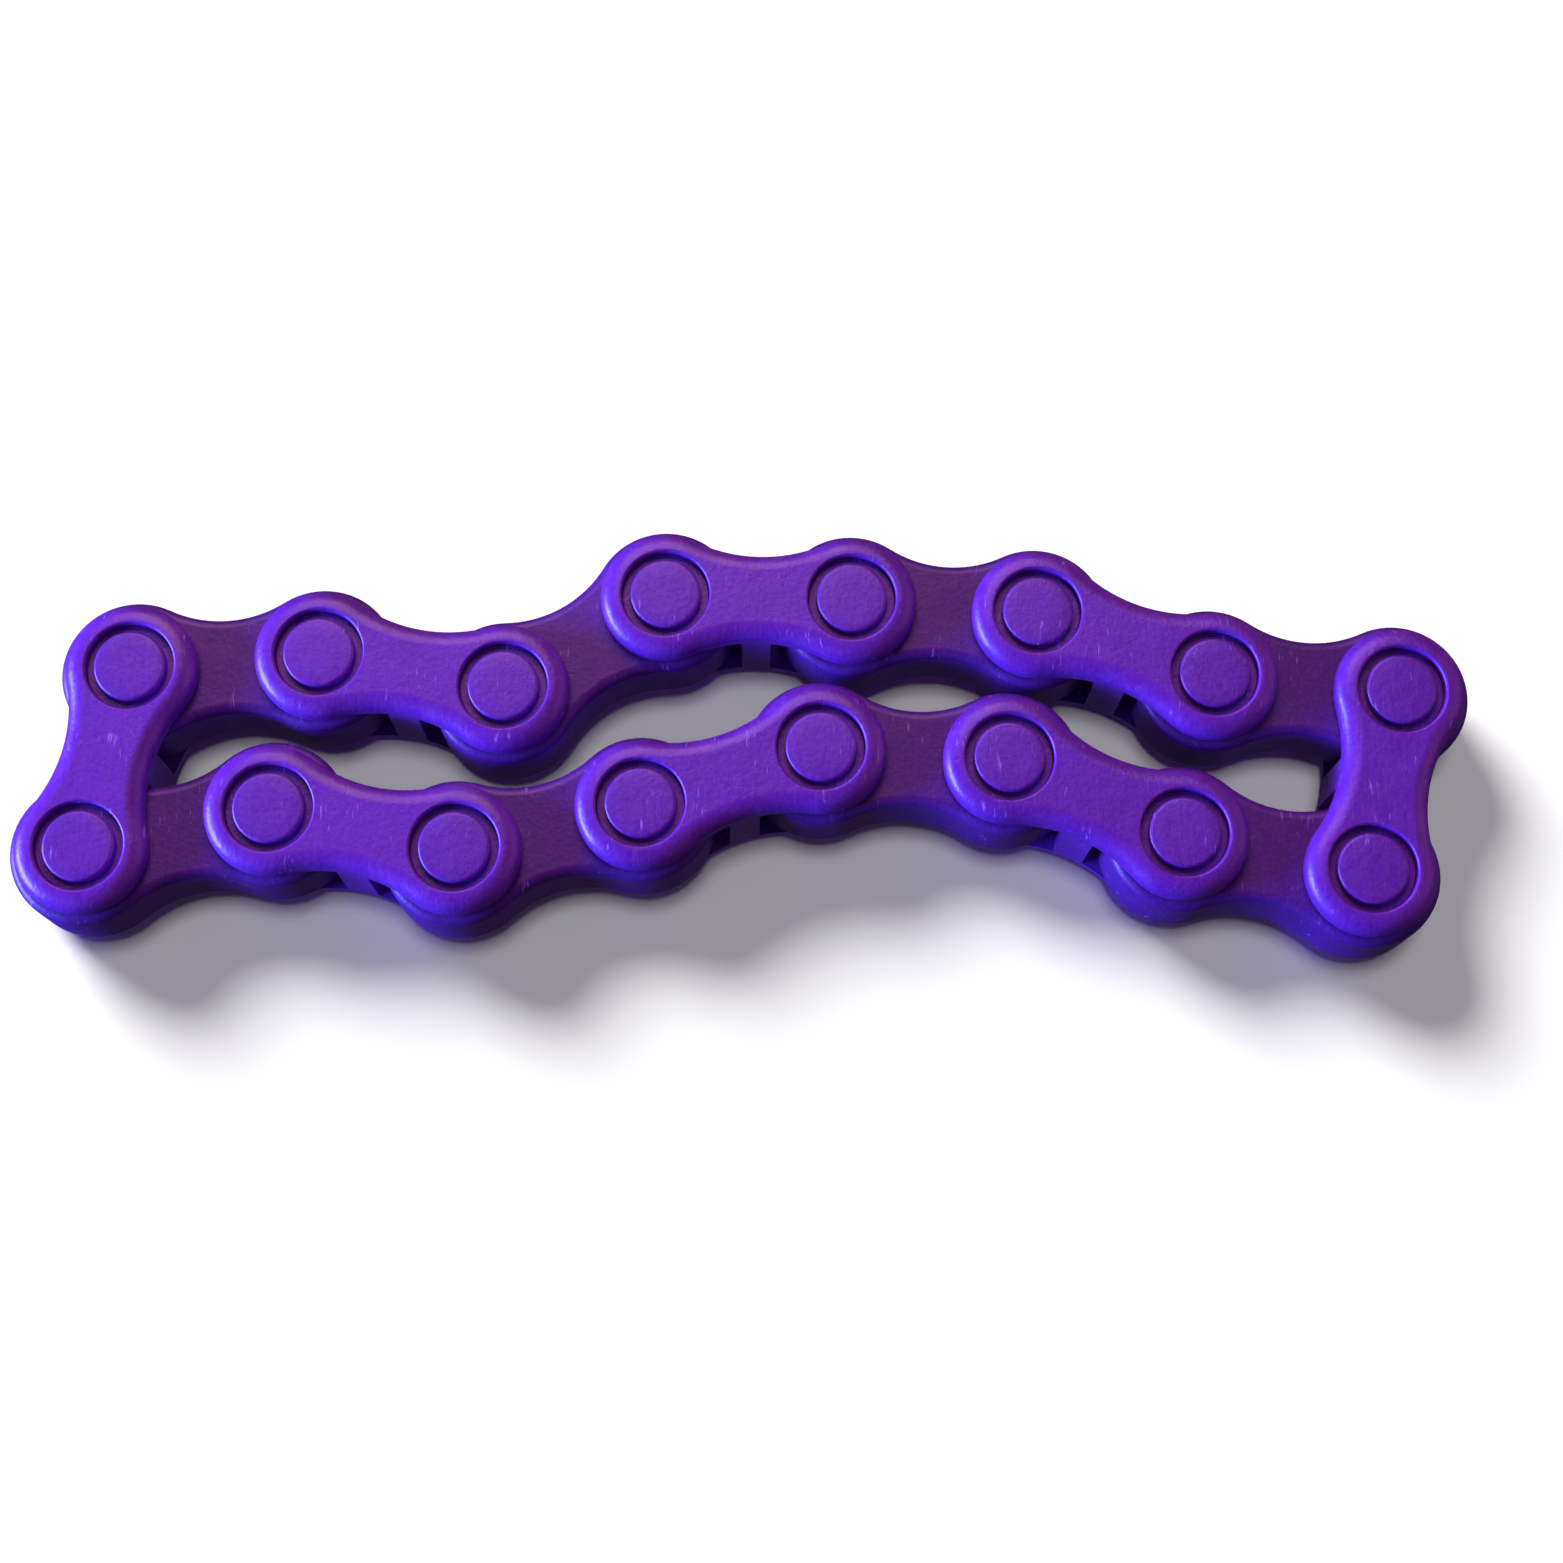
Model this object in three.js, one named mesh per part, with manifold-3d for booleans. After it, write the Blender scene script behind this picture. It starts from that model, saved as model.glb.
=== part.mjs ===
// A closed ring of plastic chain links, lying flat in a loosely bent oval.
// Eight outer links (forked at both ends) alternate with eight inner links, and a
// headed pin holds each fork to the rounded end of the inner link inside it.
// Millimetres, +Z up, X along the ring; the underside of the outer links is at z = 0.
import * as THREE from "three";
import { mergeVertices } from "three/addons/utils/BufferGeometryUtils.js";
import Module from "manifold-3d";

const wasm = await Module();
wasm.setup();

// ---- driving dimensions ----
const PITCH = 16; // from one pivot of a link to the other
const THICKNESS = 10.6; // of an outer link
// Of each link: end radius, half width at the waist, and the radius of its rounded
// rims with the number of facets across them.
const OUTER = { end: 5.6, waist: 3.8, edge: 1.2, facets: 2 };
const INNER = { end: 6.3, waist: 4.2, edge: 0.8, facets: 1 };
const CHEEK = 1.8; // wall of a fork, above and below its slot
const SIDE_GAP = 0.2; // between a cheek and the inner link
const FIT = 0.3; // clearance round whatever turns or is pressed in
const FOLD_STOP = 65; // smallest angle between two joined links, degrees
const STOP_GAP = 0.06; // left between the web and an inner link at that angle

const PIN = { head: 3.2, headHeight: 1.0, shaft: 2.4, chamfer: 0.25, recess: 0.05 };
const SEAT_DEPTH = 1.3; // counterbore for the pin's head
const MOUTH = { radius: 3.95, depth: 0.45 }; // bevel round the counterbore

// Heading of each link in the resting pose, degrees, going round the ring from the
// left end link. Outer and inner links alternate, and the first is an outer one.
// Two more links close the ring, so their headings follow from these.
const HEADINGS = [-102, 12, -12, 14, 18, -3, -24, -11, 78, 175, 160, 176, 179, 211];
const LINKS = HEADINGS.length + 2;

// The pivot that joins an inner link's far end to the outer link after it, where the
// inner link's bore and the fork's slot are larger, so that the ring has some play.
const LOOSE = { pivot: 12, bore: 4.6, slot: 7.9 };

const ARC_STEPS = { end: 10, waist: 3, hole: 12, pin: 12, slot: 8 };

const PLASTIC = { color: 0x6f45b8, roughness: 0.42, metalness: 0 };

// ---- geometry helpers ----
const radians = THREE.MathUtils.degToRad;

// Points on an arc, both ends included.
function arc(cx, cy, radius, from, to, steps) {
  const points = [];
  for (let i = 0; i <= steps; i++) {
    const a = from + ((to - from) * i) / steps;
    points.push(new THREE.Vector2(cx + radius * Math.cos(a), cy + radius * Math.sin(a)));
  }
  return points;
}

// Outline of a link: two round ends, one at the origin and one at x = PITCH, joined
// by two concave flanks that are tangent to both ends.
function linkOutline(end, waist) {
  const half = PITCH / 2;
  const flank = (half ** 2 + waist ** 2 - end ** 2) / (2 * (end - waist));
  const flankY = waist + flank;
  const turn = Math.atan2(flankY, half); // from an end's centre to a flank's centre
  const far = arc(PITCH, 0, end, turn - Math.PI, Math.PI - turn, ARC_STEPS.end);
  const top = arc(half, flankY, flank, -turn, turn - Math.PI, ARC_STEPS.waist);
  const near = arc(0, 0, end, turn, 2 * Math.PI - turn, ARC_STEPS.end);
  const bottom = arc(half, -flankY, flank, Math.PI - turn, turn, ARC_STEPS.waist);
  return [...far, ...top.slice(1, -1), ...near, ...bottom.slice(1, -1)];
}

// A prism over an outline, with its rims rounded by edge in a number of facets.
function prism(points, bottom, top, edge = 0, facets = 1) {
  const geometry = new THREE.ExtrudeGeometry(new THREE.Shape(points), {
    depth: top - bottom - 2 * edge,
    bevelEnabled: edge > 0,
    bevelThickness: edge,
    bevelSize: edge,
    bevelOffset: -edge,
    bevelSegments: facets,
  });
  return geometry.translate(0, 0, bottom + edge);
}

// A turned solid about the Z axis from [radius, z] pairs that start and end on the axis.
function turned(profile, steps) {
  const points = profile.map(([r, z]) => new THREE.Vector2(r, z));
  return new THREE.LatheGeometry(points, steps).rotateX(Math.PI / 2);
}

function solid(geometry) {
  geometry.deleteAttribute("normal");
  geometry.deleteAttribute("uv");
  const merged = mergeVertices(geometry, 1e-4);
  return new wasm.Manifold(
    new wasm.Mesh({
      numProp: 3,
      vertProperties: merged.attributes.position.array,
      triVerts: Uint32Array.from(merged.index.array),
    }),
  );
}

function geometryOf(body) {
  const { vertProperties, triVerts } = body.getMesh();
  const geometry = new THREE.BufferGeometry();
  geometry.setAttribute("position", new THREE.BufferAttribute(vertProperties, 3));
  geometry.setIndex(new THREE.BufferAttribute(triVerts, 1));
  geometry.computeVertexNormals();
  return geometry;
}

// ---- sub-parts, each lying along +X from its first pivot at the origin ----

// What one slot of a fork takes away: room for the inner link's round end, and for its
// body at every angle down to the fold stop on either side. The web lies towards +X.
function slotCutter(radius) {
  const bottom = CHEEK;
  const top = THICKNESS - CHEEK;
  const stop = radians(FOLD_STOP);
  const reach = 2 * OUTER.end;
  const sector = [new THREE.Vector2(0, 0), ...arc(0, 0, reach, stop, 2 * Math.PI - stop, 8)];
  const round = arc(0, 0, radius, 0, 2 * Math.PI, 2 * ARC_STEPS.slot).slice(0, -1);
  const folded = linkOutline(INNER.end + STOP_GAP, INNER.waist + STOP_GAP);
  return solid(prism(sector, bottom, top))
    .add(solid(prism(round, bottom, top)))
    .add(solid(prism(folded, bottom, top).rotateZ(stop)))
    .add(solid(prism(folded, bottom, top).rotateZ(-stop)));
}

// The hole for a pin, through both cheeks, with a bevelled counterbore on top.
function pinHole() {
  const shaft = PIN.shaft + FIT;
  const head = PIN.head + FIT;
  const seat = THICKNESS - SEAT_DEPTH;
  const profile = [
    [0, -1],
    [shaft, -1],
    [shaft, seat],
    [head, seat],
    [head, THICKNESS - MOUTH.depth],
    [MOUTH.radius, THICKNESS],
    [MOUTH.radius, THICKNESS + 1],
    [0, THICKNESS + 1],
  ];
  return solid(turned(profile, ARC_STEPS.hole));
}

function outerLink(nearSlot, farSlot) {
  const outline = linkOutline(OUTER.end, OUTER.waist);
  const body = solid(prism(outline, 0, THICKNESS, OUTER.edge, OUTER.facets));
  const far = slotCutter(farSlot).rotate([0, 0, 180]).translate([PITCH, 0, 0]);
  return geometryOf(
    body
      .subtract(slotCutter(nearSlot))
      .subtract(far)
      .subtract(pinHole())
      .subtract(pinHole().translate([PITCH, 0, 0])),
  );
}

function bore(radius) {
  const profile = [
    [0, -1],
    [radius, -1],
    [radius, THICKNESS + 1],
    [0, THICKNESS + 1],
  ];
  return solid(turned(profile, ARC_STEPS.hole));
}

function innerLink(nearBore, farBore) {
  const bottom = CHEEK + SIDE_GAP;
  const top = THICKNESS - bottom;
  const outline = linkOutline(INNER.end, INNER.waist);
  const body = solid(prism(outline, bottom, top, INNER.edge, INNER.facets));
  return geometryOf(
    body.subtract(bore(nearBore)).subtract(bore(farBore).translate([PITCH, 0, 0])),
  );
}

function pivotPin() {
  const top = THICKNESS - PIN.recess;
  const underHead = top - PIN.headHeight;
  const profile = [
    [0, PIN.recess],
    [PIN.shaft - PIN.chamfer, PIN.recess],
    [PIN.shaft, PIN.recess + PIN.chamfer],
    [PIN.shaft, underHead],
    [PIN.head, underHead],
    [PIN.head, top - PIN.chamfer],
    [PIN.head - PIN.chamfer, top],
    [0, top],
  ];
  return geometryOf(solid(turned(profile, ARC_STEPS.pin)));
}

// ---- the resting pose ----

function step(heading) {
  return new THREE.Vector2(PITCH, 0).rotateAround(new THREE.Vector2(), radians(heading));
}

// Pivots in order round the ring, the last one found where two links from its
// neighbours meet on the outer side.
function pivots() {
  const found = [new THREE.Vector2(0, 0)];
  for (const heading of HEADINGS) found.push(found.at(-1).clone().add(step(heading)));
  const chord = found[0].clone().sub(found.at(-1));
  const rise = Math.sqrt(PITCH ** 2 - chord.lengthSq() / 4);
  const outward = new THREE.Vector2(chord.y, -chord.x).setLength(rise);
  found.push(found.at(-1).clone().addScaledVector(chord, 0.5).add(outward));
  return found;
}

function part(name, geometry, pivot, heading) {
  const mesh = new THREE.Mesh(geometry, new THREE.MeshStandardMaterial(PLASTIC));
  mesh.name = name;
  mesh.position.set(pivot.x, pivot.y, 0);
  mesh.rotation.z = heading;
  return mesh;
}

const ring = new THREE.Group();
const slot = INNER.end + FIT;
const hole = PIN.shaft + FIT;
const at = pivots();
for (let i = 0; i < LINKS; i++) {
  const along = at[(i + 1) % LINKS].clone().sub(at[i]).angle();
  const number = Math.floor(i / 2) + 1;
  if (i % 2 === 0) {
    const near = i === LOOSE.pivot ? LOOSE.slot : slot;
    ring.add(part(`outer_link_${number}`, outerLink(near, slot), at[i], along));
  } else {
    const far = i + 1 === LOOSE.pivot ? LOOSE.bore : hole;
    ring.add(part(`inner_link_${number}`, innerLink(hole, far), at[i], along));
  }
  ring.add(part(`pivot_pin_${i + 1}`, pivotPin(), at[i], along));
}

// The origin is under the middle of the ring.
const box = new THREE.Box3().setFromObject(ring, true);
const middle = box.getCenter(new THREE.Vector3());
ring.position.set(-middle.x, -middle.y, 0);

export default ring;
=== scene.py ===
"""Looks of the purple chain link ring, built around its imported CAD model."""

import math

import bmesh
import bpy
from mathutils import Matrix, Vector

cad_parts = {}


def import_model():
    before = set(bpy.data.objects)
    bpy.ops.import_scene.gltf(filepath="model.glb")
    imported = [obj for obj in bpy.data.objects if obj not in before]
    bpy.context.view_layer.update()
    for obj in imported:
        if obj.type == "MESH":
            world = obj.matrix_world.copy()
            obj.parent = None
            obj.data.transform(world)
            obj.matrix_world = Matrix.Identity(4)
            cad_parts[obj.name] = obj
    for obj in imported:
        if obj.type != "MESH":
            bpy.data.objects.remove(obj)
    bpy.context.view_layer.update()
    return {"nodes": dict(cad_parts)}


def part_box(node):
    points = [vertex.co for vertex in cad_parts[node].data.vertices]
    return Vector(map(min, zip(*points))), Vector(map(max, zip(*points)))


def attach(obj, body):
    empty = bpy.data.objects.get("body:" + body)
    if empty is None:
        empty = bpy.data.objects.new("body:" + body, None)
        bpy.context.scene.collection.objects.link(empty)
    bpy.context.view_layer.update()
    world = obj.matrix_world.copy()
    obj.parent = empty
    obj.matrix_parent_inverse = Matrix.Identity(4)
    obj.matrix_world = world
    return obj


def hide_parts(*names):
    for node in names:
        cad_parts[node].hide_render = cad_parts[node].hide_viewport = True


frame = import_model()

# ---- sizes, in millimetres in a link's own frame: +X along it, first pivot at 0 ----
MM = 0.001
LINKS = len([n for n in frame["nodes"] if n.startswith("pivot_pin_")])
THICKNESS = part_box("outer_link_1")[1].z / MM
INNER_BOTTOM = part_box("inner_link_1")[0].z / MM
INNER_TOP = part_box("inner_link_1")[1].z / MM
PIN_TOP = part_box("pivot_pin_1")[1].z / MM
PIN_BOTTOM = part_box("pivot_pin_1")[0].z / MM

OUTER = {"end": 5.6, "waist": 3.8, "rim": (1.6, 1.25)}  # rim: how far in, how far down
INNER = {"end": 6.3, "waist": 4.2, "rim": (0.9, 0.8)}
CHEEK = 1.8
FIT = 0.3
FOLD_STOP = math.radians(65)
SLOT = INNER["end"] + FIT
STOP_GAP = 0.06  # between the web and an inner link at the fold stop
LOOSE = {"pin": 13, "bore": 4.6, "slot": 7.9}  # the one pivot that has some play

SHAFT = 2.6  # radius of a pin below its head
SHAFT_CHAMFER = 0.3
HOLE = 2.7
# A pin's head: a slightly crowned disc with a rounded edge, on a wider flange.
HEAD = 3.04
HEAD_HEIGHT = 1.0
HEAD_EDGE = 0.3
CROWN = [(1.6, 0.006), (0, 0)]  # radius, and how far below the middle
CROWN_DROP = 0.02  # how far the disc's edge lies below its middle
FLANGE = 3.7
GROOVE = 0.85  # depth of the groove round the disc, with the flange as its floor
GROOVE_FILLET = 0.06
SEAT = {"radius": 3.76, "depth": 1.3, "lip": 0.24}  # lip: rounding of its mouth

END_STEPS = 44
FLANK_STEPS = 18
RIM_STEPS = 7
HEAD_STEPS = 6
TURN_STEPS = 72
SECTOR_STEPS = 24
PAST = 1  # how far a cutter reaches past the face that it cuts
SHARP = math.radians(28)  # edges that turn by more than this stay crisp


# ---- mesh helpers ----
def arc(cx, cy, radius, start, stop, steps):
    angles = [start + (stop - start) * i / steps for i in range(steps + 1)]
    return [(cx + radius * math.cos(a), cy + radius * math.sin(a)) for a in angles]


def outline(pitch, end, waist, inset=0.0):
    """A link's outline: two round ends joined by concave flanks, pulled in by inset."""
    half = pitch / 2
    flank = (half**2 + waist**2 - end**2) / (2 * (end - waist))
    flank_y = waist + flank
    turn = math.atan2(flank_y, half)
    end, flank = end - inset, flank + inset
    far = arc(pitch, 0, end, turn - math.pi, math.pi - turn, END_STEPS)
    top = arc(half, flank_y, flank, -turn, turn - math.pi, FLANK_STEPS)
    near = arc(0, 0, end, turn, 2 * math.pi - turn, END_STEPS)
    bottom = arc(half, -flank_y, flank, math.pi - turn, turn, FLANK_STEPS)
    return far + top[1:-1] + near + bottom[1:-1]


def skin(loops):
    """A closed mesh through a stack of loops of equal length, capped at both ends."""
    bm = bmesh.new()
    rows = [[bm.verts.new(point) for point in loop] for loop in loops]
    count = len(rows[0])
    for low, high in zip(rows, rows[1:]):
        for i in range(count):
            j = (i + 1) % count
            bm.faces.new((low[i], low[j], high[j], high[i]))
    bm.faces.new(list(reversed(rows[0])))
    bm.faces.new(rows[-1])
    return bm


def rounded(pitch, end, waist, bottom, top, rim):
    """A link's body with rounded rims: rim is how far they reach in and down."""
    across, down = rim
    bends = [math.pi / 2 * i / RIM_STEPS for i in range(RIM_STEPS + 1)]
    levels = [(across * (1 - math.sin(a)), bottom + down * (1 - math.cos(a))) for a in bends]
    levels += [(inset, bottom + top - z) for inset, z in reversed(levels)]
    return skin(
        [[(x, y, z) for x, y in outline(pitch, end, waist, inset)] for inset, z in levels]
    )


def prism(points, bottom, top):
    return skin([[(x, y, z) for x, y in points] for z in (bottom, top)])


def turned(profile, steps=TURN_STEPS):
    """A solid of revolution from (radius, z) pairs that start and end on the axis."""
    bm = bmesh.new()
    low = bm.verts.new((0, 0, profile[0][1]))
    high = bm.verts.new((0, 0, profile[-1][1]))
    angles = [2 * math.pi * i / steps for i in range(steps)]
    rows = [
        [bm.verts.new((r * math.cos(a), r * math.sin(a), z)) for a in angles]
        for r, z in profile[1:-1]
    ]
    for i in range(steps):
        j = (i + 1) % steps
        bm.faces.new((low, rows[0][j], rows[0][i]))
        bm.faces.new((high, rows[-1][i], rows[-1][j]))
        for a, b in zip(rows, rows[1:]):
            bm.faces.new((a[i], a[j], b[j], b[i]))
    return bm


def loose_object(bm, name):
    mesh = bpy.data.meshes.new(name)
    bm.to_mesh(mesh)
    bm.free()
    obj = bpy.data.objects.new(name, mesh)
    bpy.context.scene.collection.objects.link(obj)
    return obj


def cut(body, cutters):
    """The body's mesh after all the cutters are taken away from it."""
    base = loose_object(body, "base")
    tools = [loose_object(bm, "tool") for bm in cutters]
    for tool in tools:
        step = base.modifiers.new("cut", "BOOLEAN")
        step.operation = "DIFFERENCE"
        step.solver = "EXACT"
        step.object = tool
    bpy.context.view_layer.update()
    evaluated = base.evaluated_get(bpy.context.evaluated_depsgraph_get())
    mesh = bpy.data.meshes.new_from_object(evaluated)
    for obj in [base, *tools]:
        bpy.data.objects.remove(obj)
    return mesh


def moved(bm, matrix):
    bmesh.ops.transform(bm, matrix=matrix, verts=bm.verts)
    return bm


# ---- the three kinds of piece, each made once per variant ----
def slot_cutters(pitch, radius, turn):
    """What a fork's slot takes away, for the near end, or turned round for the far end."""
    low, high = CHEEK, THICKNESS - CHEEK
    reach = 2 * OUTER["end"]
    sector = [(0, 0)]
    sector += arc(0, 0, reach, FOLD_STOP, 2 * math.pi - FOLD_STOP, SECTOR_STEPS)
    disc = arc(0, 0, radius, 0, 2 * math.pi, TURN_STEPS)[:-1]
    folded = outline(pitch, INNER["end"] + STOP_GAP, INNER["waist"] + STOP_GAP)
    shapes = [prism(sector, low, high), prism(disc, low, high)]
    for sign in (1, -1):
        side = prism(folded, low, high)
        shapes.append(moved(side, Matrix.Rotation(sign * FOLD_STOP, 4, "Z")))
    return [moved(s, turn) for s in shapes]


def pin_hole():
    """The hole through both cheeks, with the head's seat and its rounded mouth."""
    radius, lip = SEAT["radius"], SEAT["lip"]
    floor_z = THICKNESS - SEAT["depth"]
    bends = [math.radians(a) for a in (0, 18, 36, 54, 72)]
    mouth = [
        (radius + lip * (1 - math.cos(a)), THICKNESS - lip * (1 - math.sin(a)))
        for a in bends
    ]
    wide = radius + lip * 1.1  # just past the rounding
    profile = [(0, -PAST), (HOLE, -PAST), (HOLE, floor_z), (radius, floor_z)]
    profile += mouth + [(wide, THICKNESS + 0.02)]
    profile += [(wide, THICKNESS + PAST), (0, THICKNESS + PAST)]
    return turned(profile)


def outer_mesh(pitch, near_slot, far_slot):
    body = rounded(pitch, OUTER["end"], OUTER["waist"], 0, THICKNESS, OUTER["rim"])
    at_far = Matrix.Translation((pitch, 0, 0))
    turn = at_far @ Matrix.Rotation(math.pi, 4, "Z")
    cutters = slot_cutters(pitch, near_slot, Matrix.Identity(4))
    cutters += slot_cutters(pitch, far_slot, turn)
    cutters += [pin_hole(), moved(pin_hole(), at_far)]
    return cut(body, cutters)


def inner_mesh(pitch, near_bore, far_bore):
    body = rounded(
        pitch, INNER["end"], INNER["waist"], INNER_BOTTOM, INNER_TOP, INNER["rim"]
    )
    cutters = []
    for x, radius in ((0, near_bore), (pitch, far_bore)):
        hole = turned([(0, -PAST), (radius, -PAST), (radius, THICKNESS), (0, THICKNESS)])
        cutters.append(moved(hole, Matrix.Translation((x, 0, 0))))
    return cut(body, cutters)


def pin_mesh():
    """A headed pin: a crowned disc that stands in a groove, on a flange in the seat."""
    edge_top = PIN_TOP - CROWN_DROP
    under = PIN_TOP - HEAD_HEIGHT
    floor_z = edge_top - GROOVE
    bends = [math.pi / 2 * i / HEAD_STEPS for i in range(HEAD_STEPS + 1)]
    edge = [
        (HEAD - HEAD_EDGE * (1 - math.cos(a)), edge_top - HEAD_EDGE * (1 - math.sin(a)))
        for a in bends
    ]
    profile = [(0, PIN_BOTTOM), (SHAFT - SHAFT_CHAMFER, PIN_BOTTOM)]
    profile += [(SHAFT, PIN_BOTTOM + SHAFT_CHAMFER), (SHAFT, under)]
    profile += [(FLANGE, under), (FLANGE, floor_z + GROOVE_FILLET)]
    profile += [(FLANGE - GROOVE_FILLET, floor_z), (HEAD + GROOVE_FILLET / 2, floor_z)]
    profile += edge + [(radius, PIN_TOP - dip) for radius, dip in CROWN]
    mesh = bpy.data.meshes.new("pin")
    bm = turned(profile)
    bm.to_mesh(mesh)
    bm.free()
    return mesh


# ---- materials ----
class Nodes:
    """A short way to build a material's node tree."""

    def __init__(self, name):
        self.material = bpy.data.materials.new(name)
        self.material.use_nodes = True
        self.tree = self.material.node_tree
        self.shader = self.tree.nodes["Principled BSDF"]

    def add(self, kind, inputs=None, **settings):
        node = self.tree.nodes.new(kind)
        for key, value in settings.items():
            setattr(node, key, value)
        for key, value in (inputs or {}).items():
            self.put(node.inputs[key], value)
        return node

    def put(self, socket, value):
        if isinstance(value, bpy.types.NodeSocket):
            self.tree.links.new(value, socket)
        else:
            socket.default_value = value

    def stretched(self, scale):
        where = self.add("ShaderNodeTexCoord").outputs["Object"]
        return self.add("ShaderNodeMapping", {"Vector": where, "Scale": scale}).outputs[0]

    def noise(self, scale, detail=3.0, stretch=(1, 1, 1), roughness=0.55):
        inputs = {"Vector": self.stretched(stretch), "Scale": scale, "Detail": detail}
        inputs["Roughness"] = roughness
        return self.add("ShaderNodeTexNoise", inputs).outputs["Fac"]

    def span(self, value, low, high, to_low=0.0, to_high=1.0):
        inputs = {"Value": value, "From Min": low, "From Max": high}
        inputs.update({"To Min": to_low, "To Max": to_high})
        return self.add("ShaderNodeMapRange", inputs).outputs["Result"]

    def math(self, operation, a, b):
        node = self.add("ShaderNodeMath", operation=operation)
        self.put(node.inputs[0], a)
        self.put(node.inputs[1], b)
        return node.outputs[0]

    def mix(self, factor, a, b):
        node = self.add("ShaderNodeMix", data_type="RGBA")
        self.put(node.inputs["Factor"], factor)
        self.put(node.inputs["A"], a)
        self.put(node.inputs["B"], b)
        return node.outputs["Result"]

    def bump(self, height, strength, distance, normal=None):
        inputs = {"Height": height, "Strength": strength, "Distance": distance}
        node = self.add("ShaderNodeBump", inputs)
        if normal is not None:
            self.put(node.inputs["Normal"], normal)
        return node.outputs["Normal"]


SCUFF = (0.5, 0.3, 0.95, 1)


def plastic(name, colour, faded, worn, roughness):
    """Moulded plastic: cloudy colour, a fine speckle, thin pale scuffs, rubbed rims.

    A noise's scale is its number of spots in a metre, so 1000 gives spots of 1 mm.
    """
    n = Nodes(name)
    clouds = n.span(n.noise(240, 3), 0.35, 0.68)
    speckle = n.span(n.noise(2600, 3), 0.3, 0.72)
    brushed = n.noise(1000, 3, stretch=(4.6, 0.28, 0.6))
    streaks = n.noise(1000, 3, stretch=(3.4, 0.5, 1.5))
    patches = n.span(n.noise(330, 2), 0.54, 0.62)
    scuffs = n.math("MULTIPLY", n.span(streaks, 0.61, 0.69), patches)
    up = n.add("ShaderNodeSeparateXYZ")
    n.put(up.inputs[0], n.add("ShaderNodeTexCoord").outputs["Normal"])
    slope = n.math("ABSOLUTE", up.outputs["Z"], 0.0)
    rims = n.math("MULTIPLY", n.span(slope, 0.2, 0.6), n.span(slope, 1.0, 0.85))
    rubbed = n.math("MULTIPLY", rims, n.span(n.noise(520, 4), 0.45, 0.7))

    tint = n.add("ShaderNodeAttribute", attribute_name="tint").outputs["Fac"]
    base = n.mix(n.math("MULTIPLY", clouds, 0.6), colour, faded)
    base = n.mix(n.math("MULTIPLY", tint, 0.4), base, faded)
    base = n.mix(n.math("MULTIPLY", speckle, 0.18), base, worn)
    base = n.mix(n.math("MULTIPLY", n.span(brushed, 0.45, 0.7), 0.08), base, worn)
    base = n.mix(n.math("MULTIPLY", scuffs, 0.6), base, SCUFF)
    base = n.mix(n.math("MULTIPLY", rubbed, 0.2), base, worn)
    n.put(n.shader.inputs["Base Color"], base)

    gloss = n.span(n.noise(700, 4), 0.3, 0.7, roughness - 0.05, roughness + 0.08)
    gloss = n.math("ADD", gloss, n.math("MULTIPLY", scuffs, 0.16))
    n.put(n.shader.inputs["Roughness"], gloss)
    n.shader.inputs["Specular IOR Level"].default_value = 0.5
    n.shader.inputs["Coat Weight"].default_value = 0.2
    n.shader.inputs["Coat Roughness"].default_value = 0.3

    relief = n.math("ADD", n.noise(420, 2), n.math("MULTIPLY", speckle, 0.4))
    relief = n.math("ADD", relief, n.math("MULTIPLY", brushed, 0.22))
    normal = n.bump(relief, 0.22, 0.0002)
    normal = n.bump(n.math("SUBTRACT", 1.0, scuffs), 0.25, 0.00008, normal)
    n.put(n.shader.inputs["Normal"], normal)
    return n.material


MATERIALS = {
    "outer_link": plastic(
        "purple_outer",
        colour=(0.14, 0.012, 0.4, 1),
        faded=(0.18, 0.02, 0.48, 1),
        worn=(0.34, 0.13, 0.75, 1),
        roughness=0.36,
    ),
    # painted shade: the inner links are the same plastic as the outer ones, given a darker,
    # duller colour that stands for the shade on their tops, which sit recessed between the outer
    # links' cheeks
    "inner_link": plastic(
        "purple_inner_painted_shade",
        colour=(0.075, 0.005, 0.24, 1),
        faded=(0.105, 0.01, 0.31, 1),
        worn=(0.25, 0.08, 0.53, 1),
        roughness=0.45,
    ),
    "pivot_pin": plastic(
        "purple_pin",
        colour=(0.125, 0.012, 0.37, 1),
        faded=(0.165, 0.02, 0.44, 1),
        worn=(0.36, 0.16, 0.75, 1),
        roughness=0.38,
    ),
}


# ---- the ring ----
def pivot(index):
    low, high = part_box(f"pivot_pin_{(index - 1) % LINKS + 1}")
    return Vector(((low.x + high.x) / 2, (low.y + high.y) / 2, 0))


def place(mesh, name, node, body, slot, matrix, tint):
    """One piece on its CAD body, in place of its CAD node."""
    mesh = mesh.copy()
    mesh.name = name
    mesh.transform(matrix)
    mesh.materials.clear()
    mesh.materials.append(MATERIALS[slot])
    mesh.shade_smooth()
    mesh.set_sharp_from_angle(angle=SHARP)
    values = mesh.attributes.new("tint", "FLOAT", "POINT")
    values.data.foreach_set("value", [tint] * len(mesh.vertices))
    obj = bpy.data.objects.new(name, mesh)
    bpy.context.scene.collection.objects.link(obj)
    weighted = obj.modifiers.new("weighted_normals", "WEIGHTED_NORMAL")
    weighted.keep_sharp = True
    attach(obj, body)
    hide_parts(node)
    return obj


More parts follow.
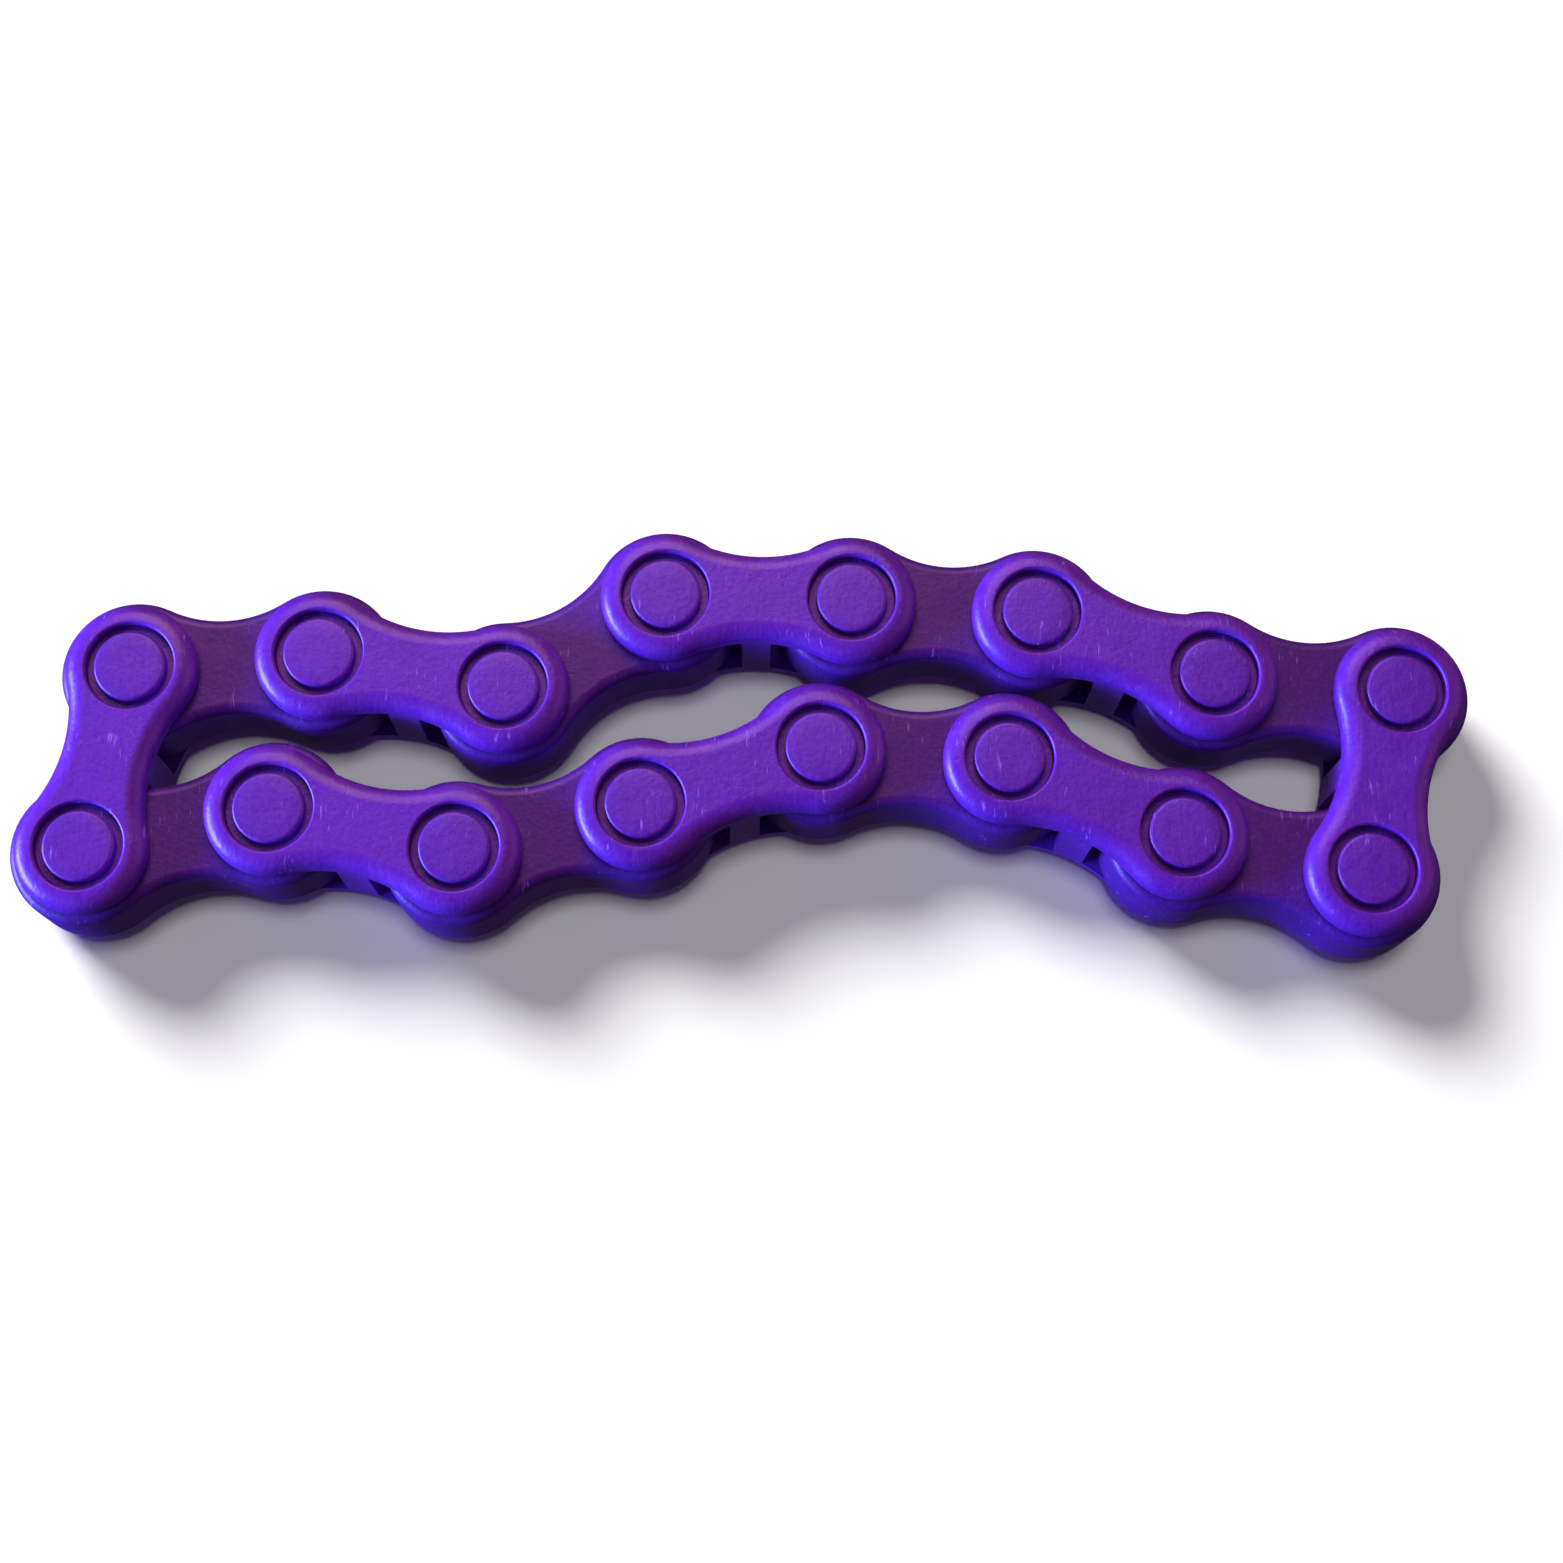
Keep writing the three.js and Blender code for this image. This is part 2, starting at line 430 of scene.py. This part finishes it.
PITCH = (pivot(2) - pivot(1)).length / MM
OUTER_MESH = outer_mesh(PITCH, SLOT, SLOT)
OUTER_MESH_LOOSE = outer_mesh(PITCH, LOOSE["slot"], SLOT)
INNER_MESH = inner_mesh(PITCH, HOLE, HOLE)
INNER_MESH_LOOSE = inner_mesh(PITCH, HOLE, LOOSE["bore"])
PIN_MESH = pin_mesh()

PIECES = []
for index in range(1, LINKS + 1):
    start, stop = pivot(index), pivot(index + 1)
    heading = math.atan2(stop.y - start.y, stop.x - start.x)
    turn = Matrix.Translation(start) @ Matrix.Rotation(heading, 4, "Z")
    matrix = turn @ Matrix.Scale(MM, 4)
    tint = 0.5 + 0.5 * math.sin(2.4 * index)  # a slightly different shade on each piece
    number = (index + 1) // 2
    if index % 2:
        mesh = OUTER_MESH_LOOSE if index == LOOSE["pin"] else OUTER_MESH
        node = f"outer_link_{number}"
        PIECES.append(
            place(mesh, f"{node}_moulded", node, node, "outer_link", matrix, tint)
        )
        for end, at in ((index, start), (index % LINKS + 1, stop)):
            matrix = Matrix.Translation(at) @ Matrix.Scale(MM, 4)
            pin = f"pivot_pin_{end}"
            PIECES.append(
                place(PIN_MESH, f"{pin}_moulded", pin, node, "pivot_pin", matrix, 1 - tint)
            )
    else:
        mesh = INNER_MESH_LOOSE if index == LOOSE["pin"] - 1 else INNER_MESH
        node = f"inner_link_{number}"
        PIECES.append(
            place(mesh, f"{node}_moulded", node, node, "inner_link", matrix, tint)
        )


# ---- floor, light and camera ----
def floor():
    n = Nodes("pale_floor")
    grain = n.noise(60, 4)
    n.put(n.shader.inputs["Base Color"], n.mix(grain, (0.9, 0.9, 0.9, 1), (0.93, 0.93, 0.93, 1)))
    n.shader.inputs["Roughness"].default_value = 0.85
    n.shader.inputs["Specular IOR Level"].default_value = 0.1
    bm = bmesh.new()
    bmesh.ops.create_grid(bm, x_segments=2, y_segments=2, size=1.5)
    obj = loose_object(bm, "floor")
    obj.location.z = -0.01 * MM  # just clear of the flat undersides of the links
    obj.data.materials.append(n.material)
    obj.visible_diffuse = False
    obj.visible_glossy = False
    return obj


def group(name, objects):
    collection = bpy.data.collections.new(name)
    for obj in objects:
        collection.objects.link(obj)
    return collection


def aim_light(data, azimuth, elevation, distance, lights):
    """Stands a light so that it faces the middle of the ring and lights one group."""
    obj = bpy.data.objects.new(data.name, data)
    a, e = math.radians(azimuth), math.radians(elevation)
    towards = Vector((math.cos(e) * math.cos(a), math.cos(e) * math.sin(a), math.sin(e)))
    obj.location = towards * distance
    obj.rotation_euler = towards.to_track_quat("Z", "Y").to_euler()
    obj.light_linking.receiver_collection = lights
    bpy.context.scene.collection.objects.link(obj)


def soft_box(name, azimuth, elevation, distance, size, power, colour, lights):
    data = bpy.data.lights.new(name, "AREA")
    data.shape = "RECTANGLE"
    data.size, data.size_y = size
    data.energy = power
    data.color = colour
    aim_light(data, azimuth, elevation, distance, lights)


def even_light(name, azimuth, elevation, spread, strength, lights):
    """Light that is as strong all over the table, from a patch of sky of that spread."""
    data = bpy.data.lights.new(name, "SUN")
    data.angle = math.radians(spread)
    data.energy = strength
    aim_light(data, azimuth, elevation, 1.0, lights)


def camera():
    """Looks down from slightly in front of the ring, with +Y upright in the picture."""
    aim = Vector((2.8, -4.65, THICKNESS)) * MM
    distance, tilt, azimuth = 0.216, math.radians(14.1), math.radians(-93.5)
    back = Vector(
        (
            math.sin(tilt) * math.cos(azimuth),
            math.sin(tilt) * math.sin(azimuth),
            math.cos(tilt),
        )
    )
    up = (Vector((0, 1, 0)) - back * back.y).normalized()
    right = up.cross(back)
    axes = Matrix((right, up, back)).transposed().to_4x4()
    data = bpy.data.cameras.new("camera")
    data.lens = 59.1
    data.sensor_width = 36
    data.clip_start = 0.01
    obj = bpy.data.objects.new("camera", data)
    obj.matrix_world = Matrix.Translation(aim + back * distance) @ axes
    bpy.context.scene.collection.objects.link(obj)
    bpy.context.scene.camera = obj


def world():
    """A dim even glow on the ring, and a white backdrop where the camera sees past the floor."""
    scene = bpy.context.scene
    scene.world = bpy.data.worlds.new("studio")
    scene.world.use_nodes = True
    nodes, links = scene.world.node_tree.nodes, scene.world.node_tree.links
    glow = nodes["Background"]
    glow.inputs["Color"].default_value = (0.75, 0.5, 1, 1)
    glow.inputs["Strength"].default_value = 0.07
    backdrop = nodes.new("ShaderNodeBackground")
    backdrop.inputs["Color"].default_value = (1, 1, 1, 1)
    seen = nodes.new("ShaderNodeMixShader")
    links.new(nodes.new("ShaderNodeLightPath").outputs["Is Camera Ray"], seen.inputs[0])
    links.new(glow.outputs[0], seen.inputs[1])
    links.new(backdrop.outputs[0], seen.inputs[2])
    links.new(seen.outputs[0], nodes["World Output"].inputs["Surface"])
    scene.view_settings.view_transform = "Standard"


PLASTIC = group("plastic", PIECES)
TABLE = group("table", [floor()])
even_light("table_light", 131, 36, 26, 4.8, TABLE)
even_light("table_fill", 100, 86, 16, 0.9, TABLE)
soft_box("window", 188, 13, 0.5, (0.3, 0.1), 7.4, (0.26, 0.32, 1), PLASTIC)
soft_box("fill", 100, 48, 0.6, (0.4, 0.4), 2.0, (1, 0.48, 0.74), PLASTIC)
soft_box("rim", 10, 30, 0.6, (0.4, 0.4), 0.3, (1, 0.45, 1), PLASTIC)
camera()
world()
